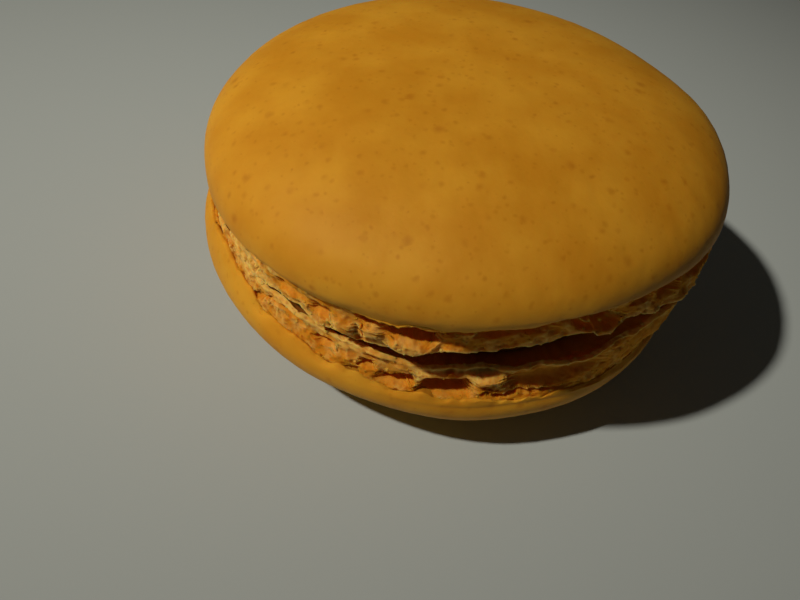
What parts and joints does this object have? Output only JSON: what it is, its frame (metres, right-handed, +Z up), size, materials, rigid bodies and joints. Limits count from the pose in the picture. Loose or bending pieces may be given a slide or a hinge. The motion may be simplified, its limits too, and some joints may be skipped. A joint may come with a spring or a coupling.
{
  "type": "french macaron",
  "caption": "Round almond meringue sandwich biscuit: smooth domed shells with crumbly ruffled feet on a thin filling, the upper shell leaning so that the seam gapes at the front.",
  "frame": {"origin": "on the surface it lies on, under the middle of the bounding box", "axes": "+Z up through both shells; the upper shell leans up towards +X, and the seam gapes towards -Y"},
  "size_m": [0.0464, 0.0462, 0.0253],
  "materials": {
    "shell": "smooth mustard-yellow baked almond meringue with fine brown specks, crumbly at the foot",
    "filling": "soft brown ganache"
  },
  "bodies": {
    "root": {"shell_top": "shell", "shell_bottom": "shell", "filling": "filling"}
  },
  "joints": []
}
